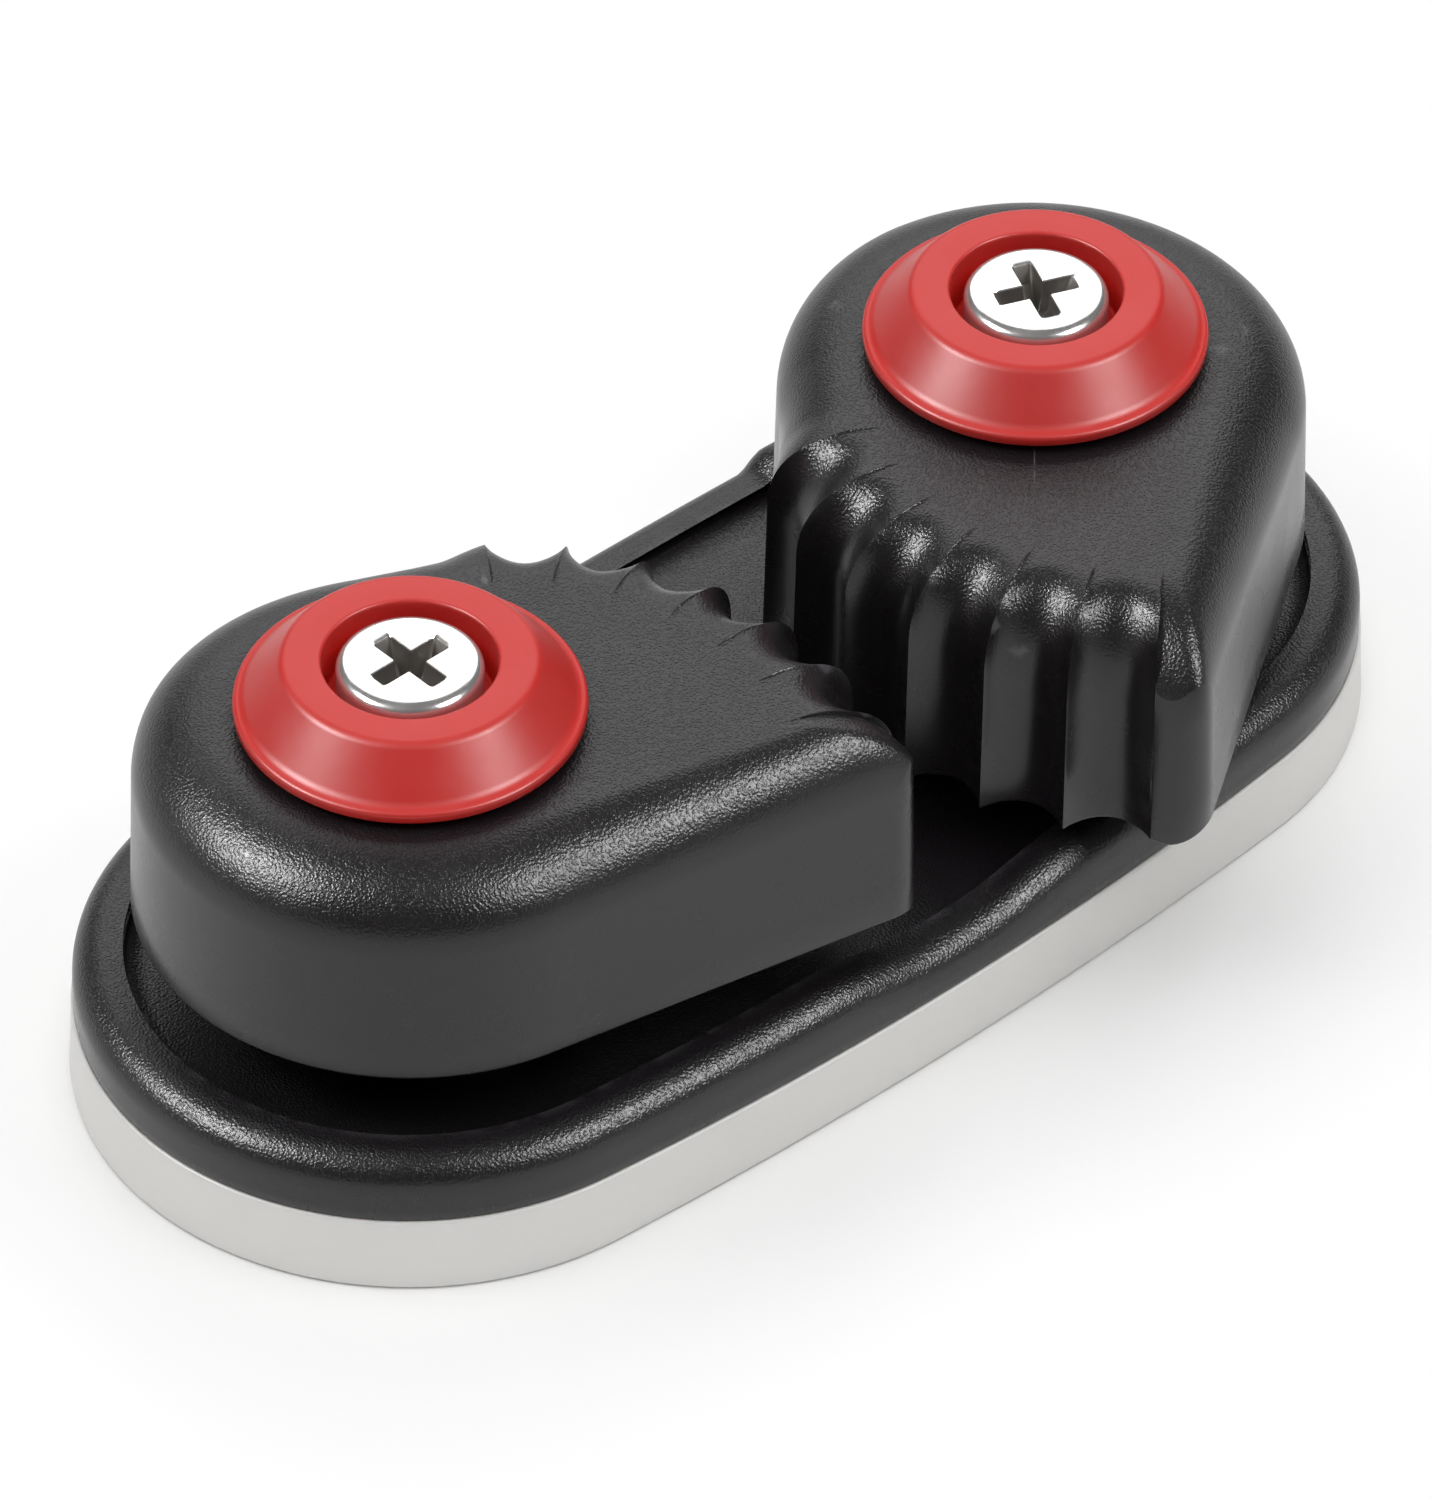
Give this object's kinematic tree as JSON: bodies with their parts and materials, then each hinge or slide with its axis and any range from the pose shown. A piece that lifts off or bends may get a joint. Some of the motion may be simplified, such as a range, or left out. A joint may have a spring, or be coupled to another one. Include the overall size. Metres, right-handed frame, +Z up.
{
  "type": "cam cleat",
  "caption": "Two sprung, toothed cams on vertical pivots above a rimmed base plate and a flared pad, for gripping a rope pulled between them.",
  "frame": {"origin": "middle of the pad's underside, halfway between the two pivots and mounting screws", "axes": "+X from the left pivot to the right one, along the length; +Y towards the loaded rope, so the cams' noses point to -Y; +Z up from the deck, along the pivots"},
  "size_m": [0.069, 0.0363, 0.0236],
  "materials": {
    "black_plastic": "black fibre-filled nylon, satin, fine leather grain on the tops, smooth walls",
    "white_plastic": "off-white moulded plastic, satin, slightly translucent",
    "red_plastic": "red acetal, satin",
    "stainless_steel": "bright stainless steel",
    "spring_steel": "drawn stainless wire",
    "white_acetal": "natural acetal, smooth",
    "cage_plastic": "dark grey nylon, matt"
  },
  "bodies": {
    "base": {"mounting_pad": "white_plastic", "base_plate": "black_plastic", "hub_cap_left": "red_plastic", "screw_left": "stainless_steel", "bush_left": "stainless_steel", "lower_washer_left": "white_acetal", "upper_washer_left": "white_acetal", "torsion_spring_left": "spring_steel", "hub_cap_right": "red_plastic", "screw_right": "stainless_steel", "bush_right": "stainless_steel", "lower_washer_right": "white_acetal", "upper_washer_right": "white_acetal", "torsion_spring_right": "spring_steel"},
    "cam_left": {"cam_left": "black_plastic"},
    "cam_right": {"cam_right": "black_plastic"},
    "bearing_left": {"ball_cage_left": "cage_plastic", "ball_left_1": "white_acetal", "ball_left_2": "white_acetal", "ball_left_3": "white_acetal", "ball_left_4": "white_acetal", "ball_left_5": "white_acetal", "ball_left_6": "white_acetal", "ball_left_7": "white_acetal"},
    "bearing_right": {"ball_cage_right": "cage_plastic", "ball_right_1": "white_acetal", "ball_right_2": "white_acetal", "ball_right_3": "white_acetal", "ball_right_4": "white_acetal", "ball_right_5": "white_acetal", "ball_right_6": "white_acetal", "ball_right_7": "white_acetal"}
  },
  "joints": [
    {"name": "cam_left_swing", "type": "hinge", "parent": "base", "child": "cam_left", "pos_m": [-0.019, 0, 0.0145], "axis": [0, 0, -1], "range_deg": [-6.5, 43.5], "stiffness_Nm_per_rad": 0.02, "springref_deg": -68.75, "deforming": ["torsion_spring_left"]},
    {"name": "cam_right_swing", "type": "hinge", "parent": "base", "child": "cam_right", "pos_m": [0.019, 0, 0.0145], "axis": [0, 0, 1], "range_deg": [-29, 21], "stiffness_Nm_per_rad": 0.02, "springref_deg": -91.67, "deforming": ["torsion_spring_right"]},
    {"name": "bearing_left_roll", "type": "hinge", "parent": "base", "child": "bearing_left", "pos_m": [-0.019, 0, 0.0145], "axis": [0, 0, -1], "range_deg": [-4.8, 29.6]},
    {"name": "bearing_right_roll", "type": "hinge", "parent": "base", "child": "bearing_right", "pos_m": [0.019, 0, 0.0145], "axis": [0, 0, 1], "range_deg": [-19.9, 14.5]}
  ],
  "couplings": [
    {"joint": "bearing_left_roll", "follows": "cam_left_swing", "ratio": 0.6685},
    {"joint": "bearing_right_roll", "follows": "cam_right_swing", "ratio": 0.6685}
  ]
}
